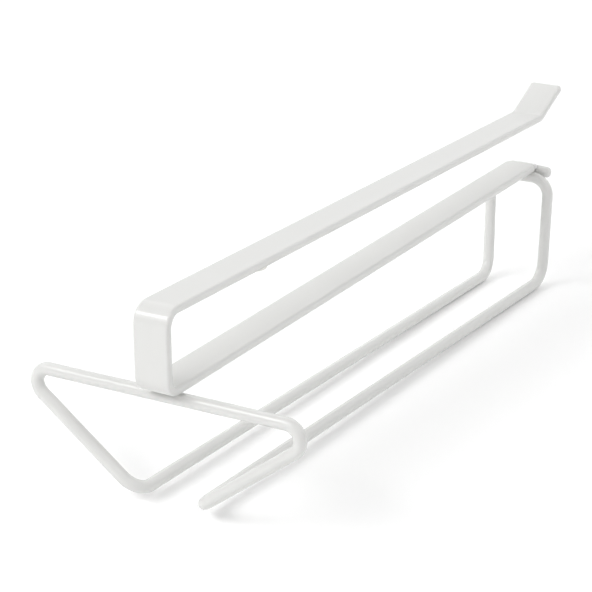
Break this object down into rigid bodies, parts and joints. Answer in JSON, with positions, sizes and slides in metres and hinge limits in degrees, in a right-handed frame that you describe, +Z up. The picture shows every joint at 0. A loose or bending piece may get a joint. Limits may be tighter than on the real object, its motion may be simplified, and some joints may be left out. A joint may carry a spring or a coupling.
{
  "type": "clip-on under-shelf rack",
  "caption": "Clip-on under-shelf rack: a flat steel hairpin clip grips a shelf board, and a bent wire loop below it carries two parallel rails with a flared open front.",
  "frame": {"origin": "on the underside of the upper arm, on the clip's centre line, at the middle of the arm's length; this face lies on the shelf board", "axes": "+Y from the front web into the shelf, +Z up, +X to the right when the rack is seen from the front"},
  "size_m": [0.1201, 0.3341, 0.0916],
  "materials": {
    "powder_coat": "gloss white powder coat on steel",
    "bumper": "satin white elastomer"
  },
  "bodies": {
    "root": {"clip_bar": "powder_coat", "wire_loop": "powder_coat", "front_weld": "powder_coat", "rear_weld": "powder_coat", "lap_weld": "powder_coat", "end_weld": "powder_coat", "grip_pad": "bumper"}
  },
  "joints": []
}
